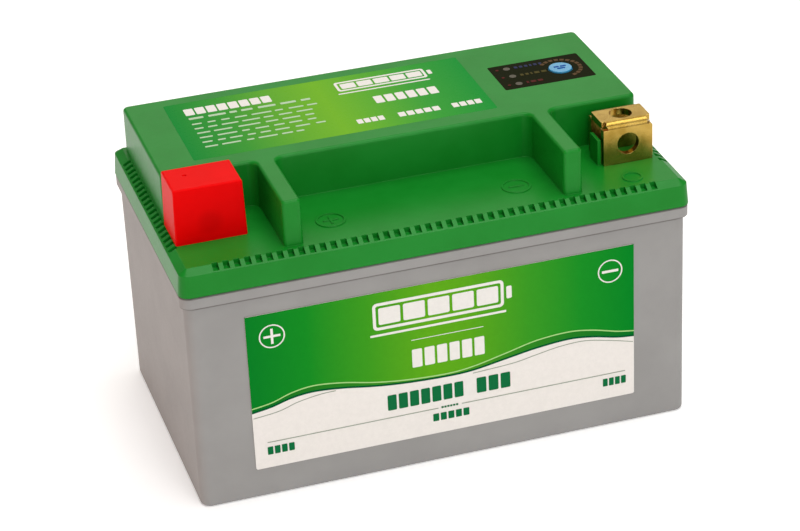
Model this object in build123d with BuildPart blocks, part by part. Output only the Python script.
"""Lithium motorcycle battery, 12.8 V, as an assembly of separate pieces.

Millimetres. X runs along the front, Y from front to back, Z up.
The origin is the centre of the underside.
"""
from build123d import *
from math import atan2, degrees, radians, tan
import os

os.makedirs("parts", exist_ok=True)

# ---- driving sizes of the outside ------------------------------------------
length = 150.0  # lid skirt, along X
width = 87.0  # lid skirt, along Y
case_height = 68.2  # underside to the top of the rim band
skirt_height = 6.7
skirt_draft = 5.0  # degrees
lid_corner = 3.2
bevel_run = 2.3
bevel_rise = 1.45
block_rise = 13.7  # raised block above the bay floor

# ---- case --------------------------------------------------------------------
case_inset = 1.2  # case wall inside the lid skirt
rim_inset = 0.2  # rim band inside the lid skirt
rim_height = 3.5
rim_round = 0.3
wall = 2.5
least_corner = 0.5
case_bottom_round = 1.0

# ---- lid ---------------------------------------------------------------------
tongue_depth = 4.0
tongue_wall = 2.0
tongue_gap = 0.15
tongue_overlap = 0.5
lid_wall = 2.5
bevel_corner_spare = 0.3
seam_chamfer = 0.4
block_inset_side = 3.85
block_inset_back = 3.55
block_front_setback = 32.9  # block's front wall behind the skirt's front
block_corner = 1.8
block_round = 1.0
block_draft = 0.6  # degrees
rib_outer_setback = 31.2  # rib's outer side from the end of the skirt
rib_width = 5.7
rib_front_setback = 4.8
rib_corner = 1.2
inner_corner = 2.5
comb_pitch = 3.05
comb_slot = 1.7
comb_depth = 1.6
comb_lip = 1.05
comb_band = 2.5
comb_end_margin = 10.7  # front and back rows, from the end of the skirt
comb_side_front = 15.1  # side rows, from the front of the skirt
comb_side_back = 11.6
mark_radius = 4.3
mark_line = 0.6
mark_rise = 0.3
mark_offset_x = 27.5
mark_setback_y = 15.4
stop_ring_radius = 3.0
stop_ring_inward = 2.5
stop_ring_setback = 8.3

# ---- terminals ---------------------------------------------------------------
terminal_edge_margin = 4.85  # bracket's outer side from the end of the skirt
terminal_front_setback = 17.85
terminal_width = 15.0
terminal_depth = 12.0
terminal_rise = 13.05
terminal_plate = 2.0
terminal_bend = 2.4
terminal_hole_r = 3.3  # M6 clearance
terminal_hole_rise = 6.0
terminal_cut_x = 1.6
terminal_cut_run = 2.3
cut_overrun = 0.5
leg_width = 10.0
leg_slot_gap = 0.1
front_leg_drop = 3.5  # below the bay floor's underside
rear_leg_drop = 13.5
seal_height = 3.0
seal_margin = 1.1
seal_corner = 1.0
guard_gap = 0.5
guard_wall = 1.0
guard_rise = 7.9
guard_front_step = 1.15
guard_length = 6.0

# ---- positive cover ----------------------------------------------------------
cover_wall = 1.0
cover_gap = 0.5
cover_guard_gap = 1.6
cover_rise = 16.7
cover_round = 0.7
cover_top_round = 0.6
cover_draft = 1.5  # degrees
cover_core_draft = 0.5  # degrees
gate_radius = 0.6  # moulding gate left in the cover's top
gate_depth = 0.3
gate_offset_x = 4.4
gate_offset_y = 1.5

# ---- labels and indicator panel ----------------------------------------------
front_label_bottom = 9.4
front_label_top_margin = 9.3  # below the rim band's top
front_label_margin = 16.3
label_film = 0.25
label_corner = 0.6
top_label_side_margin = 11.35
top_label_front_margin = 6.55
top_label_back_margin = 5.1
panel_length = 28.4
panel_depth = 17.3
panel_film = 0.5
film_overcut = 0.1
panel_side_margin = 5.75
panel_offset_y = 0.3
panel_to_label = 6.2
lamp_pitch = 5.6
lamp_count = 3
lamp_margin = 5.15
lamp_hole_gap = 0.2
button_margin = 8.2
button_radius = 3.5
button_gap = 0.3
button_proud = 0.4
button_travel = 0.4
flange_radius = 4.4
flange_height = 0.55
stem_radius = 1.5
guide_gap = 0.4
flange_gap = 0.1  # above the flange, and below it when pressed

# ---- indicator board ---------------------------------------------------------
board_sheet = 1.6
indicator_drop = 3.6  # lid wall's underside to the board's upper face
indicator_margin = 1.0
led_radius = 1.5
led_height = 4.2
led_round = 1.05
switch_side = 6.0
switch_height = 2.8
plunger_radius = 1.6
plunger_rise = 0.5
plunger_gap = 0.2
small_screw_r = 1.0
small_screw_length = 3.0
small_boss_r = 2.4
small_head_r = 2.1
small_head_height = 1.6
boss_lamp_clear = 6.5  # lamps between the board's edge and its left boss
led_chip_length = 2.0
led_chip_width = 1.0
led_chip_height = 0.6

# ---- cells -------------------------------------------------------------------
cell_count = 4
cell_thickness = 22.0
separator = 1.5
pad_drop = 1.0  # separator pads below the cells' tops
side_space = 6.9  # between the cells and the case's front or back wall
head_space = 18.5  # between the cells and the lid's underside
base_sheet = 3.0
foam_gap = 0.2
least_foam_corner = 1.0
cell_corner = 1.5
post_setback = 11.0
post_radius = 4.0
post_height = 1.7
post_hole_r = 2.0
post_hole_depth = 6.0
frame_sheet = 1.5
frame_gap = 0.3

# ---- links, straps and fasteners ---------------------------------------------
link_width = 10.0
link_sheet = 1.2
strap_sheet = 1.5
strap_tail = 9.0  # past the post, for the sense wire
strap_hole_drop = 9.5  # strap screw below the bay floor's underside
screw_r = 2.0
screw_gap = 0.15
screw_seat = 0.1  # shank thinner than the tapped hole
screw_head_r = 3.5
screw_head_height = 2.4
link_screw_length = 6.0
strap_screw_length = 8.5
nut_radius = 4.0
nut_height = 3.2

# ---- balance board -----------------------------------------------------------
board_length = 84.0
board_boss_height = 8.0
board_boss_r = 3.0
board_clear = 1.0
board_corner = 1.5
board_screw_r = 1.25
board_screw_head_r = 2.3
board_screw_head = 1.6
board_screw_length = 6.0
pilot_gap = 0.05
pilot_spare = 0.5
wire_radius = 0.7
wire_rise = 4.4
wire_bend = 2.2
wire_end_margin = 2.5
pad_inset = 2.0
channel_step = 11.0  # the four balance channels along the board
channel_offset_y = 4.0
resistor_length = 6.3
resistor_width = 3.2
resistor_height = 0.7
chip_length = 3.0
chip_width = 1.7
chip_height = 1.1
controller_side = 7.0
controller_height = 1.2
controller_margin = 6.0  # past the last channel
lead_start_margin = 12.0  # from the board's right edge
lead_end_inset = 1.6
lead_end_forward = 3.0
lead_spacing = 3.0
lead_rise = 6.0
lead_drop = 5.0


def rounded_box(x_range, y_range, z_range, corner=0.0):
    """An upright block with rounded vertical edges, as a finished part."""
    x0, x1 = x_range
    y0, y1 = y_range
    z0, z1 = z_range
    with BuildPart() as block:
        with BuildSketch(Plane.XY.offset(z0)):
            with Locations(((x0 + x1) / 2, (y0 + y1) / 2)):
                if corner > 0:
                    RectangleRounded(x1 - x0, y1 - y0, corner)
                else:
                    Rectangle(x1 - x0, y1 - y0)
        extrude(amount=z1 - z0)
    return block.part


def save(part, name):
    """Label a finished part and write it under its node's name."""
    part.label = name
    export_step(part, f"parts/{name}.step")


# ---- places worked out from the sizes ----------------------------------------
half_length = length / 2
half_width = width / 2
case_x = half_length - case_inset
case_y = half_width - case_inset
inner_x = case_x - wall
inner_y = case_y - wall
case_corner = lid_corner - rim_inset
inner_case_corner = max(case_corner - wall, least_corner)
front_label_height = case_height - front_label_bottom - front_label_top_margin

bevel_z = case_height + skirt_height
floor_z = bevel_z + bevel_rise
under_z = floor_z - lid_wall
block_z = floor_z + block_rise
block_under_z = block_z - lid_wall
block_x = half_length - block_inset_side
block_front = -half_width + block_front_setback
block_back = half_width - block_inset_back
block_mid_y = (block_front + block_back) / 2
rib_x = half_length - rib_outer_setback - rib_width / 2
rib_front = -half_width + rib_front_setback
rib_mid_y = (rib_front + block_mid_y) / 2

terminal_x = half_length - terminal_edge_margin - terminal_width / 2
terminal_front = -half_width + terminal_front_setback
terminal_back = terminal_front + terminal_depth
terminal_z = floor_z + terminal_rise
guard_x = terminal_x - terminal_width / 2 - guard_gap - guard_wall / 2

panel_x = block_x - panel_side_margin - panel_length / 2
panel_y = block_mid_y + panel_offset_y
panel_under_z = block_z - panel_film
lamp_x = panel_x - panel_length / 2 + lamp_margin
button_x = panel_x + panel_length / 2 - button_margin
label_x0 = -block_x + top_label_side_margin
label_x1 = panel_x - panel_length / 2 - panel_to_label
label_y0 = block_front + top_label_front_margin
label_y1 = block_back - top_label_back_margin

base_z = wall + base_sheet
cell_z = under_z - head_space
cell_pitch = cell_thickness + separator
cell_depth = 2 * (inner_y - side_space)
pack_x = cell_pitch * (cell_count - 1) / 2 + cell_thickness / 2
cell_xs = [cell_pitch * (i - (cell_count - 1) / 2) for i in range(cell_count)]
post_y = cell_depth / 2 - post_setback
frame_z = cell_z + frame_sheet
post_z = cell_z + post_height
link_z = post_z + link_sheet
strap_z = post_z + strap_sheet
board_z = frame_z + board_boss_height
board_top = board_z + board_sheet
boss_y = post_y - link_width / 2 - board_clear - board_boss_r
boss_x = board_length / 2 - board_boss_r
board_half_depth = boss_y + board_boss_r

flange_top = panel_under_z - flange_gap
flange_bottom = flange_top - flange_height
button_seat = flange_bottom - button_travel - flange_gap
indicator_top = block_under_z - indicator_drop
indicator_bottom = indicator_top - board_sheet
plunger_foot = indicator_top + switch_height / 2
plunger_top = indicator_top + switch_height + plunger_rise


# ---- case --------------------------------------------------------------------
with BuildPart() as case:
    with BuildSketch():
        RectangleRounded(2 * case_x, 2 * case_y, case_corner)
    extrude(amount=case_height)
    fillet(case.faces().sort_by(Axis.Z)[0].edges(), case_bottom_round)
    with BuildSketch(Plane.XY.offset(case_height - rim_height)):
        RectangleRounded(length - 2 * rim_inset, width - 2 * rim_inset, lid_corner)
    extrude(amount=rim_height)
    rim_underside = case.faces().filter_by(Axis.Z).sort_by(Axis.Z)[1]
    fillet(rim_underside.outer_wire().edges(), rim_round)
    top_edges = case.faces().sort_by(Axis.Z)[-1].edges()
    chamfer(top_edges, seam_chamfer)
    with BuildSketch(Plane.XY.offset(wall)):
        RectangleRounded(2 * inner_x, 2 * inner_y, inner_case_corner)
    extrude(amount=case_height - wall, mode=Mode.SUBTRACT)
save(case.part, "case")

# ---- lid ---------------------------------------------------------------------
tongue_x = inner_x - tongue_gap
tongue_y = inner_y - tongue_gap
tongue_corner = max(inner_case_corner - tongue_gap, least_corner - tongue_gap)
skirt_shift = skirt_height * tan(radians(skirt_draft))
bevel_corner = max(lid_corner - skirt_shift, bevel_run + bevel_corner_spare)
bevel_angle = degrees(atan2(bevel_run, bevel_rise))
comb_front_y = half_width - comb_lip - comb_band / 2
comb_side_x = half_length - comb_lip - comb_band / 2
comb_floor_z = floor_z - comb_depth
front_slots = int((length - 2 * comb_end_margin) / comb_pitch) + 1
side_slots = int((width - comb_side_front - comb_side_back) / comb_pitch) + 1
side_slots_y = (comb_side_front - comb_side_back) / 2
mark_y = -half_width + mark_setback_y

with BuildPart() as lid:
    with BuildSketch(Plane.XY.offset(case_height)):
        RectangleRounded(length, width, lid_corner)
    extrude(amount=skirt_height, taper=skirt_draft)
    chamfer(lid.faces().sort_by(Axis.Z)[0].edges(), seam_chamfer)
    with BuildSketch(Plane.XY.offset(bevel_z)):
        RectangleRounded(length - 2 * skirt_shift, width - 2 * skirt_shift, bevel_corner)
    extrude(amount=bevel_rise, taper=bevel_angle)

    # raised block with its two ribs
    with BuildSketch(Plane.XY.offset(floor_z)) as block_outline:
        with Locations((0, block_mid_y)):
            Rectangle(2 * block_x, block_back - block_front)
        with Locations((-rib_x, rib_mid_y), (rib_x, rib_mid_y)):
            Rectangle(rib_width, block_mid_y - rib_front)
        rib_tips = block_outline.vertices().group_by(Axis.Y)[0]
        fillet(rib_tips, rib_corner)
        wall_line = [v for v in block_outline.vertices() if abs(v.Y - block_front) < 0.01]
        inner_corners = [v for v in wall_line if abs(v.X) < rib_x + rib_width]
        fillet(inner_corners, inner_corner)
        outer_corners = [v for v in block_outline.vertices() if abs(v.X) > block_x - 0.01]
        fillet(outer_corners, block_corner)
    extrude(amount=block_rise, taper=block_draft)
    fillet(lid.faces().sort_by(Axis.Z)[-1].edges(), block_round)

    # nut guards beside the brackets
    guard_y = terminal_front + guard_front_step + guard_length / 2
    with BuildSketch(Plane.XY.offset(floor_z)):
        with Locations((-guard_x, guard_y), (guard_x, guard_y)):
            Rectangle(guard_wall, guard_length)
    extrude(amount=guard_rise)

    # polarity marks on the recess floor and the ring in the right bay
    with BuildSketch(Plane.XY.offset(floor_z)):
        with Locations((-mark_offset_x, mark_y), (mark_offset_x, mark_y)):
            Circle(mark_radius)
            Circle(mark_radius - mark_line, mode=Mode.SUBTRACT)
            Rectangle(mark_radius, mark_line)
        with Locations((-mark_offset_x, mark_y)):
            Rectangle(mark_line, mark_radius)
        with Locations((terminal_x - stop_ring_inward, -half_width + stop_ring_setback)):
            Circle(stop_ring_radius)
            Circle(stop_ring_radius - mark_line, mode=Mode.SUBTRACT)
    extrude(amount=mark_rise)

    # pockets along the bevelled edge
    with BuildSketch(Plane.XY.offset(comb_floor_z)):
        with Locations((0, -comb_front_y), (0, comb_front_y)):
            with GridLocations(comb_pitch, 1, front_slots, 1):
                Rectangle(comb_slot, comb_band)
        with Locations((-comb_side_x, side_slots_y), (comb_side_x, side_slots_y)):
            with GridLocations(1, comb_pitch, 1, side_slots):
                Rectangle(comb_band, comb_slot)
    extrude(amount=comb_depth + film_overcut, mode=Mode.SUBTRACT)

    # tongue that seats inside the case
    with BuildSketch(Plane.XY.offset(case_height - tongue_depth)):
        RectangleRounded(2 * tongue_x, 2 * tongue_y, tongue_corner)
    extrude(amount=tongue_depth + tongue_overlap)

    # hollow underside: below the bays, in the block and in the ribs
    with BuildSketch(Plane.XY.offset(case_height - tongue_depth)):
        Rectangle(2 * (tongue_x - tongue_wall), 2 * (tongue_y - tongue_wall))
    extrude(amount=under_z - case_height + tongue_depth, mode=Mode.SUBTRACT)
    with BuildSketch(Plane.XY.offset(under_z - film_overcut)):
        with Locations((0, block_mid_y)):
            Rectangle(2 * (block_x - lid_wall), block_back - block_front - 2 * lid_wall)
        with Locations((-rib_x, rib_mid_y), (rib_x, rib_mid_y)):
            Rectangle(rib_width - 2 * tongue_wall, block_mid_y - rib_front - 2 * lid_wall)
    extrude(amount=block_under_z - under_z + film_overcut, mode=Mode.SUBTRACT)

    # screw bosses for the indicator board
    boss_inset = indicator_margin + small_boss_r
    left_boss = (panel_x - panel_length / 2 + boss_inset + boss_lamp_clear, panel_y)
    right_boss = (panel_x + panel_length / 2 - boss_inset, panel_y + panel_depth / 2 - boss_inset)
    indicator_bosses = [left_boss, right_boss]
    with BuildSketch(Plane.XY.offset(indicator_top)):
        with Locations(*indicator_bosses):
            Circle(small_boss_r)
            Circle(small_screw_r + screw_gap, mode=Mode.SUBTRACT)
    extrude(amount=indicator_drop)

    # recesses for the label and the overlay, and the holes below the overlay
    with BuildSketch(Plane.XY.offset(block_z - label_film)):
        with Locations(((label_x0 + label_x1) / 2, (label_y0 + label_y1) / 2)):
            RectangleRounded(label_x1 - label_x0, label_y1 - label_y0, label_corner)
    extrude(amount=label_film + film_overcut, mode=Mode.SUBTRACT)
    with BuildSketch(Plane.XY.offset(panel_under_z)):
        with Locations((panel_x, panel_y)):
            RectangleRounded(panel_length, panel_depth, label_corner)
    extrude(amount=panel_film + film_overcut, mode=Mode.SUBTRACT)
    with BuildSketch(Plane.XY.offset(button_seat)):
        with Locations((button_x, panel_y)):
            Circle(flange_radius + button_gap)
    extrude(amount=panel_under_z - button_seat, mode=Mode.SUBTRACT)
    with BuildSketch(Plane.XY.offset(block_under_z)):
        with Locations((button_x, panel_y)):
            Circle(stem_radius + guide_gap)
        with Locations((lamp_x, panel_y)):
            with GridLocations(1, lamp_pitch, 1, lamp_count):
                Circle(led_radius + lamp_hole_gap)
    extrude(amount=lid_wall - panel_film, mode=Mode.SUBTRACT)

    # slots for the legs of the brackets
    leg_ys = [terminal_front + terminal_plate / 2, terminal_back - terminal_plate / 2]
    with BuildSketch(Plane.XY.offset(under_z)):
        with Locations(*[(side * terminal_x, y) for side in (-1, 1) for y in leg_ys]):
            Rectangle(leg_width + 2 * leg_slot_gap, terminal_plate + 2 * leg_slot_gap)
    extrude(amount=lid_wall, mode=Mode.SUBTRACT)
save(lid.part, "lid")

# ---- terminal brackets, seals and straps -------------------------------------
strap_hole_z = under_z - strap_hole_drop
y0 = terminal_front
y1 = terminal_back
z1 = terminal_z
ya = y0 + terminal_plate
yb = y1 - terminal_plate
zi = z1 - terminal_plate
bend = terminal_bend
inner = bend - terminal_plate
half = terminal_width / 2
over = cut_overrun
corner_run = terminal_cut_run + over * terminal_cut_run / terminal_cut_x
for side, pole in ((-1, "positive"), (1, "negative")):
    centre = side * terminal_x
    with BuildPart() as bracket:
        # bent strip seen from the side: front plate, top plate, rear plate
        with BuildSketch(Plane.YZ.offset(centre - half)):
            with BuildLine():
                Line((y0, floor_z), (y0, z1 - bend))
                RadiusArc((y0, z1 - bend), (y0 + bend, z1), bend)
                Line((y0 + bend, z1), (y1 - bend, z1))
                RadiusArc((y1 - bend, z1), (y1, z1 - bend), bend)
                Line((y1, z1 - bend), (y1, floor_z))
                Line((y1, floor_z), (yb, floor_z))
                Line((yb, floor_z), (yb, zi - inner))
                RadiusArc((yb, zi - inner), (yb - inner, zi), -inner)
                Line((yb - inner, zi), (ya + inner, zi))
                RadiusArc((ya + inner, zi), (ya, zi - inner), -inner)
                Line((ya, zi - inner), (ya, floor_z))
                Line((ya, floor_z), (y0, floor_z))
            make_face()
        extrude(amount=terminal_width)
        # corners cut off along both bends
        with BuildSketch(Plane.XY.offset(zi)):
            for sx in (-1, 1):
                cut_in = centre + sx * (half - terminal_cut_x)
                cut_out = centre + sx * (half + over)
                for edge_y, sy in ((y0, 1), (y1, -1)):
                    with BuildLine():
                        Polyline(
                            (cut_in, edge_y),
                            (cut_in, edge_y - sy * over),
                            (cut_out, edge_y - sy * over),
                            (cut_out, edge_y + sy * corner_run),
                            close=True,
                        )
                    make_face()
        extrude(amount=terminal_plate + over, mode=Mode.SUBTRACT)
        for plate_back in (ya, y1):
            with BuildSketch(Plane.XZ.offset(-plate_back)):
                for sx in (-1, 1):
                    cut_in = centre + sx * (half - terminal_cut_x)
                    cut_out = centre + sx * (half + over)
                    with BuildLine():
                        Polyline(
                            (cut_in, z1),
                            (cut_in, z1 + over),
                            (cut_out, z1 + over),
                            (cut_out, z1 - corner_run),
                            close=True,
                        )
                    make_face()
            extrude(amount=terminal_plate, mode=Mode.SUBTRACT)
        # legs through the lid
        with BuildSketch(Plane.XY.offset(floor_z)):
            with Locations((centre, leg_ys[0])):
                Rectangle(leg_width, terminal_plate)
        extrude(amount=-(lid_wall + front_leg_drop))
        with BuildSketch(Plane.XY.offset(floor_z)):
            with Locations((centre, leg_ys[1])):
                Rectangle(leg_width, terminal_plate)
        extrude(amount=-(lid_wall + rear_leg_drop))
        # bolt holes in the front and the top, strap hole in the rear leg
        with Locations(Plane((centre, y0, floor_z + terminal_hole_rise), z_dir=(0, -1, 0))):
            Hole(terminal_hole_r, depth=terminal_plate + over)
        with Locations((centre, (y0 + y1) / 2, z1)):
            Hole(terminal_hole_r, depth=terminal_plate + over)
        with Locations(Plane((centre, y1, strap_hole_z), z_dir=(0, 1, 0))):
            Hole(screw_r + screw_gap, depth=terminal_plate + over)
    save(bracket.part, f"{pole}_terminal")

    with BuildPart() as seal:
        with BuildSketch(Plane.XY.offset(under_z)):
            with Locations((centre, (y0 + y1) / 2)):
                RectangleRounded(leg_width + 2 * seal_margin, terminal_depth + 2 * seal_margin, seal_corner)
            with Locations(*[(centre, y) for y in leg_ys]):
                Rectangle(leg_width, terminal_plate, mode=Mode.SUBTRACT)
        extrude(amount=-seal_height)
    save(seal.part, f"{pole}_seal")

    # strap: flat over the end cell's front post, turned up behind the rear leg
    post_x = side * cell_xs[-1]
    outer_edge = centre + side * leg_width / 2
    tail_edge = post_x - side * strap_tail
    band_front = -post_y - link_width / 2
    tab_back = terminal_back + strap_sheet
    with BuildPart() as strap:
        with BuildSketch(Plane.XY.offset(post_z)):
            with Locations(((outer_edge + tail_edge) / 2, -post_y)):
                Rectangle(abs(outer_edge - tail_edge), link_width)
            with Locations((centre, (band_front + tab_back) / 2)):
                Rectangle(leg_width, tab_back - band_front)
            with Locations((post_x, -post_y)):
                Circle(screw_r + screw_gap, mode=Mode.SUBTRACT)
        extrude(amount=strap_sheet)
        with BuildSketch(Plane.XY.offset(post_z)):
            with Locations((centre, (terminal_back + tab_back) / 2)):
                Rectangle(leg_width, strap_sheet)
        extrude(amount=strap_hole_z - post_z + leg_width / 2)
        with Locations(Plane((centre, tab_back, strap_hole_z), z_dir=(0, 1, 0))):
            Hole(screw_r + screw_gap, depth=strap_sheet)
    save(strap.part, f"{pole}_strap")


# ---- positive cover ----------------------------------------------------------
cover_x0 = -(terminal_x + terminal_width / 2 + cover_gap + cover_wall)
cover_x1 = -(guard_x - guard_wall / 2 - cover_guard_gap - cover_wall)
cover_y0 = terminal_front - cover_gap - cover_wall
cover_y1 = terminal_back + cover_gap + cover_wall
cover_mid_x = (cover_x0 + cover_x1) / 2
cover_mid_y = (cover_y0 + cover_y1) / 2
cover_mid = (cover_mid_x, cover_mid_y)
with BuildPart() as positive_cover:
    with BuildSketch(Plane.XY.offset(floor_z)):
        with Locations(cover_mid):
            RectangleRounded(cover_x1 - cover_x0, cover_y1 - cover_y0, cover_round)
    extrude(amount=cover_rise, taper=cover_draft)
    fillet(positive_cover.faces().sort_by(Axis.Z)[-1].edges(), cover_top_round)
    with Locations((cover_mid_x - gate_offset_x, cover_mid_y + gate_offset_y, floor_z + cover_rise)):
        Hole(gate_radius, depth=gate_depth)
    with BuildSketch(Plane.XY.offset(floor_z)):
        with Locations(cover_mid):
            Rectangle(cover_x1 - cover_x0 - 2 * cover_wall, cover_y1 - cover_y0 - 2 * cover_wall)
    extrude(amount=cover_rise - cover_wall, taper=cover_core_draft, mode=Mode.SUBTRACT)
save(positive_cover.part, "positive_cover")

# ---- labels and overlay ------------------------------------------------------
with BuildPart() as front_label:
    with BuildSketch(Plane.XZ.offset(case_y)):
        with Locations((0, front_label_bottom + front_label_height / 2)):
            RectangleRounded(2 * (case_x - front_label_margin), front_label_height, label_corner)
    extrude(amount=label_film)
save(front_label.part, "front_label")

top_label = rounded_box(
    (label_x0, label_x1), (label_y0, label_y1), (block_z - label_film, block_z), label_corner
)
save(top_label, "top_label")

with BuildPart() as indicator_panel:
    with BuildSketch(Plane.XY.offset(panel_under_z)):
        with Locations((panel_x, panel_y)):
            RectangleRounded(panel_length, panel_depth, label_corner)
        with Locations((button_x, panel_y)):
            Circle(button_radius + button_gap, mode=Mode.SUBTRACT)
    extrude(amount=panel_film)
save(indicator_panel.part, "indicator_panel")

# ---- test button and its switch ----------------------------------------------
with BuildPart() as test_button:
    with BuildSketch(Plane.XY.offset(plunger_top)):
        with Locations((button_x, panel_y)):
            Circle(stem_radius)
    extrude(amount=flange_bottom - plunger_top + flange_height / 2)
    with BuildSketch(Plane.XY.offset(flange_bottom)):
        with Locations((button_x, panel_y)):
            Circle(flange_radius)
    extrude(amount=flange_height)
    with BuildSketch(Plane.XY.offset(flange_top)):
        with Locations((button_x, panel_y)):
            Circle(button_radius)
    extrude(amount=block_z + button_proud - flange_top)
    fillet(test_button.faces().sort_by(Axis.Z)[-1].edges(), button_proud / 2)
save(test_button.part, "test_button")

with BuildPart() as switch_plunger:
    with BuildSketch(Plane.XY.offset(plunger_foot)):
        with Locations((button_x, panel_y)):
            Circle(plunger_radius)
    extrude(amount=plunger_top - plunger_foot)
save(switch_plunger.part, "switch_plunger")

with BuildPart() as tactile_switch:
    with BuildSketch(Plane.XY.offset(indicator_top)):
        with Locations((button_x, panel_y)):
            Rectangle(switch_side, switch_side)
    extrude(amount=switch_height)
    with BuildSketch(Plane.XY.offset(plunger_foot - button_travel - plunger_gap)):
        with Locations((button_x, panel_y)):
            Circle(plunger_radius + plunger_gap)
    extrude(amount=switch_height, mode=Mode.SUBTRACT)
save(tactile_switch.part, "tactile_switch")

# ---- indicator board ---------------------------------------------------------
with BuildPart() as indicator_board:
    with BuildSketch(Plane.XY.offset(indicator_bottom)):
        with Locations((panel_x, panel_y)):
            Rectangle(panel_length - 2 * indicator_margin, panel_depth - 2 * indicator_margin)
        with Locations(*indicator_bosses):
            Circle(small_screw_r + screw_gap, mode=Mode.SUBTRACT)
    extrude(amount=board_sheet)
save(indicator_board.part, "indicator_board")

with BuildPart() as indicator_screws:
    with BuildSketch(Plane.XY.offset(indicator_bottom)):
        with Locations(*indicator_bosses):
            Circle(small_head_r)
    extrude(amount=-small_head_height)
    with BuildSketch(Plane.XY.offset(indicator_bottom)):
        with Locations(*indicator_bosses):
            Circle(small_screw_r)
    extrude(amount=board_sheet + small_screw_length)
save(indicator_screws.part, "indicator_screws")

for i in range(lamp_count):
    with BuildPart() as lamp:
        with BuildSketch(Plane.XY.offset(indicator_top)):
            with Locations((lamp_x, panel_y + lamp_pitch * (1 - i))):
                Circle(led_radius)
        extrude(amount=led_height)
        fillet(lamp.faces().sort_by(Axis.Z)[-1].edges(), led_round)
    save(lamp.part, f"charge_led_{i + 1}")

with BuildPart() as led_resistors:
    with BuildSketch(Plane.XY.offset(indicator_bottom)):
        with Locations((lamp_x, panel_y)):
            with GridLocations(1, lamp_pitch, 1, lamp_count):
                Rectangle(led_chip_length, led_chip_width)
    extrude(amount=-led_chip_height)
save(led_resistors.part, "led_resistors")

# ---- cells, pads and foam ----------------------------------------------------
for i, x in enumerate(cell_xs):
    with BuildPart() as cell:
        with BuildSketch(Plane.XY.offset(base_z)):
            with Locations((x, 0)):
                RectangleRounded(cell_thickness, cell_depth, cell_corner)
        extrude(amount=cell_z - base_z)
        with BuildSketch(Plane.XY.offset(cell_z)):
            with Locations((x, -post_y), (x, post_y)):
                Circle(post_radius)
        extrude(amount=post_height)
        with Locations((x, -post_y, post_z), (x, post_y, post_z)):
            Hole(post_hole_r, depth=post_hole_depth)
    save(cell.part, f"cell_{i + 1}")

for i in range(cell_count - 1):
    edge = cell_xs[i] + cell_thickness / 2
    pad_y = cell_depth / 2 - foam_gap
    pad = rounded_box((edge, edge + separator), (-pad_y, pad_y), (base_z, cell_z - pad_drop))
    save(pad, f"separator_pad_{i + 1}")

foam_x = inner_x - foam_gap
foam_y = inner_y - foam_gap
foam_corner = max(inner_case_corner, least_foam_corner)
base_pad = rounded_box((-foam_x, foam_x), (-foam_y, foam_y), (wall, base_z), foam_corner)
save(base_pad, "base_pad")
end_left = rounded_box((-foam_x, -pack_x), (-foam_y, foam_y), (base_z, cell_z), foam_corner)
save(end_left, "end_foam_left")
end_right = rounded_box((pack_x, foam_x), (-foam_y, foam_y), (base_z, cell_z), foam_corner)
save(end_right, "end_foam_right")
side_x = pack_x - foam_gap
side_front = rounded_box((-side_x, side_x), (-foam_y, -cell_depth / 2), (base_z, cell_z))
save(side_front, "side_foam_front")
side_back = rounded_box((-side_x, side_x), (cell_depth / 2, foam_y), (base_z, cell_z))
save(side_back, "side_foam_back")

# ---- cell frame with the balance board's bosses ------------------------------
posts = [(x, y) for x in cell_xs for y in (-post_y, post_y)]
bosses = [(x, y) for x in (-boss_x, boss_x) for y in (-boss_y, boss_y)]
with BuildPart() as cell_frame:
    with BuildSketch(Plane.XY.offset(cell_z)):
        RectangleRounded(2 * pack_x, cell_depth, cell_corner)
        with Locations(*posts):
            Circle(post_radius + frame_gap, mode=Mode.SUBTRACT)
    extrude(amount=frame_sheet)
    with BuildSketch(Plane.XY.offset(frame_z)):
        with Locations(*bosses):
            Circle(board_boss_r)
    extrude(amount=board_boss_height)
    with Locations(*[(x, y, board_z) for x, y in bosses]):
        Hole(board_screw_r + pilot_gap, depth=board_screw_length + pilot_spare)
save(cell_frame.part, "cell_frame")

# ---- series links: back, front, back -----------------------------------------
link_sides = [1 if i % 2 == 0 else -1 for i in range(cell_count - 1)]
for i, row in enumerate(link_sides):
    with BuildPart() as link:
        with BuildSketch(Plane.XY.offset(post_z)):
            with Locations(((cell_xs[i] + cell_xs[i + 1]) / 2, row * post_y)):
                SlotCenterToCenter(cell_pitch, link_width)
            with Locations((cell_xs[i], row * post_y), (cell_xs[i + 1], row * post_y)):
                Circle(screw_r + screw_gap, mode=Mode.SUBTRACT)
        extrude(amount=link_sheet)
    save(link.part, f"cell_link_{i + 1}")

# ---- screws and nuts ---------------------------------------------------------
linked = [(cell_xs[i + k], row * post_y) for i, row in enumerate(link_sides) for k in (0, 1)]
strapped = [(cell_xs[0], -post_y), (cell_xs[-1], -post_y)]
with BuildPart() as cell_screws:
    for seats, seat_z in ((linked, link_z), (strapped, strap_z)):
        with BuildSketch(Plane.XY.offset(seat_z)):
            with Locations(*seats):
                Circle(screw_head_r)
        extrude(amount=screw_head_height)
        with BuildSketch(Plane.XY.offset(seat_z)):
            with Locations(*seats):
                Circle(screw_r - screw_seat)
        extrude(amount=-link_screw_length)
    heads = cell_screws.faces().filter_by(Axis.Z)
    seats_z = (link_z + screw_head_height, strap_z + screw_head_height)
    tops = [f for f in heads if min(abs(f.center().Z - z) for z in seats_z) < 0.01]
    fillet([edge for top in tops for edge in top.edges()], screw_head_height / 3)
save(cell_screws.part, "cell_screws")

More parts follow.
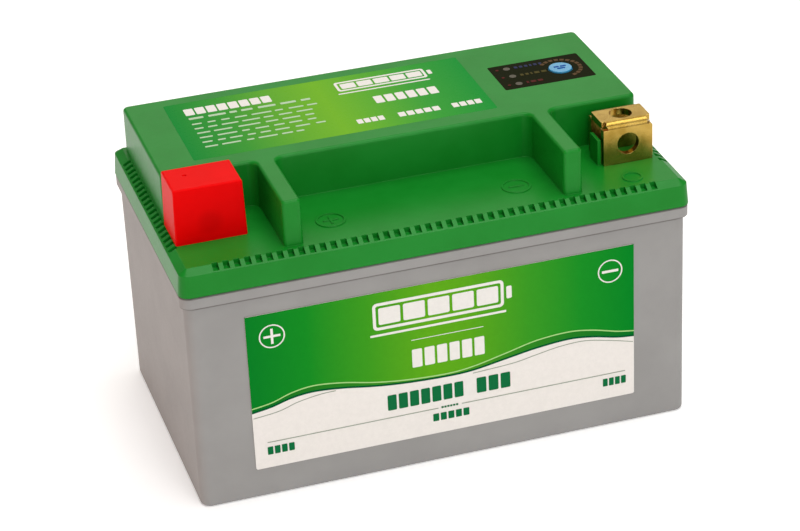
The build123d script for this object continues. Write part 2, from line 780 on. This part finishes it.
strap_xs = (-terminal_x, terminal_x)
strap_back = terminal_back + strap_sheet
with BuildPart() as strap_screws:
    with BuildSketch(Plane.XZ.offset(-strap_back)):
        with Locations(*[(x, strap_hole_z) for x in strap_xs]):
            Circle(screw_head_r)
    extrude(amount=-screw_head_height)
    with BuildSketch(Plane.XZ.offset(-strap_back)):
        with Locations(*[(x, strap_hole_z) for x in strap_xs]):
            Circle(screw_r - screw_seat)
    extrude(amount=strap_screw_length)
save(strap_screws.part, "strap_screws")

with BuildPart() as strap_nuts:
    with BuildSketch(Plane.XZ.offset(-(terminal_back - terminal_plate))):
        with Locations(*[(x, strap_hole_z) for x in strap_xs]):
            RegularPolygon(nut_radius, 6)
            Circle(screw_r, mode=Mode.SUBTRACT)
    extrude(amount=nut_height)
save(strap_nuts.part, "strap_nuts")

# ---- balance board and what it carries ---------------------------------------
with BuildPart() as balance_board:
    with BuildSketch(Plane.XY.offset(board_z)):
        RectangleRounded(board_length, 2 * board_half_depth, board_corner)
        with Locations(*bosses):
            Circle(board_screw_r + screw_gap, mode=Mode.SUBTRACT)
    extrude(amount=board_sheet)
save(balance_board.part, "balance_board")

with BuildPart() as board_screws:
    with BuildSketch(Plane.XY.offset(board_top)):
        with Locations(*bosses):
            Circle(board_screw_head_r)
    extrude(amount=board_screw_head)
    with BuildSketch(Plane.XY.offset(board_top)):
        with Locations(*bosses):
            Circle(board_screw_r)
    extrude(amount=-(board_sheet + board_screw_length))
save(board_screws.part, "board_screws")

with BuildPart() as balance_resistors:
    with BuildSketch(Plane.XY.offset(board_top)):
        with Locations((0, -channel_offset_y)):
            with GridLocations(channel_step, 1, cell_count, 1):
                Rectangle(resistor_length, resistor_width)
    extrude(amount=resistor_height)
save(balance_resistors.part, "balance_resistors")

with BuildPart() as balance_chips:
    with BuildSketch(Plane.XY.offset(board_top)):
        with Locations((0, channel_offset_y)):
            with GridLocations(channel_step, 1, cell_count, 1):
                Rectangle(chip_length, chip_width)
    extrude(amount=chip_height)
save(balance_chips.part, "balance_chips")

controller_x = -channel_step * cell_count / 2 - controller_margin
controller_half = controller_side / 2
controller_chip = rounded_box(
    (controller_x - controller_half, controller_x + controller_half),
    (-controller_half, controller_half),
    (board_top, board_top + controller_height),
)
save(controller_chip, "controller_chip")


def wire(points, bend):
    """A round wire along straight runs joined by tangent arcs."""
    with BuildPart() as run:
        with BuildLine() as route:
            FilletPolyline(*points, radius=bend)
        start = route.edges()[0]
        with BuildSketch(Plane(origin=points[0], z_dir=start.tangent_at(0))):
            Circle(wire_radius)
        sweep()
    return run.part


# sense wires: one from each strap and link, over the board's edge to its pad
strap_tap = cell_xs[-1] - strap_tail + wire_end_margin
taps = [(-strap_tap, -1, strap_z)]
for i, row in enumerate(link_sides):
    taps.append(((cell_xs[i] + cell_xs[i + 1]) / 2, row, link_z))
taps.append((strap_tap, -1, strap_z))
for i, (x, row, tap_z) in enumerate(taps):
    wire_y = row * post_y
    pad_y = row * (board_half_depth - pad_inset)
    crest = board_top + wire_rise
    points = [(x, wire_y, tap_z), (x, wire_y, crest), (x, pad_y, crest), (x, pad_y, board_top)]
    save(wire(points, wire_bend), f"sense_wire_{i + 1}")

# indicator wires: from the board's top up to the underside of the indicator board
lead_start_x = board_length / 2 - lead_start_margin
lead_end_x = panel_x - lead_end_inset
lead_low_z = board_top + lead_rise
lead_high_z = indicator_bottom - lead_drop
for name, shift in (("plus", -lead_spacing / 2), ("minus", lead_spacing / 2)):
    lead_end_y = panel_y + shift - lead_end_forward
    points = [
        (lead_start_x, shift, board_top),
        (lead_start_x, shift, lead_low_z),
        (lead_end_x, lead_end_y, lead_high_z),
        (lead_end_x, lead_end_y, indicator_bottom),
    ]
    save(wire(points, wire_bend), f"indicator_wire_{name}")
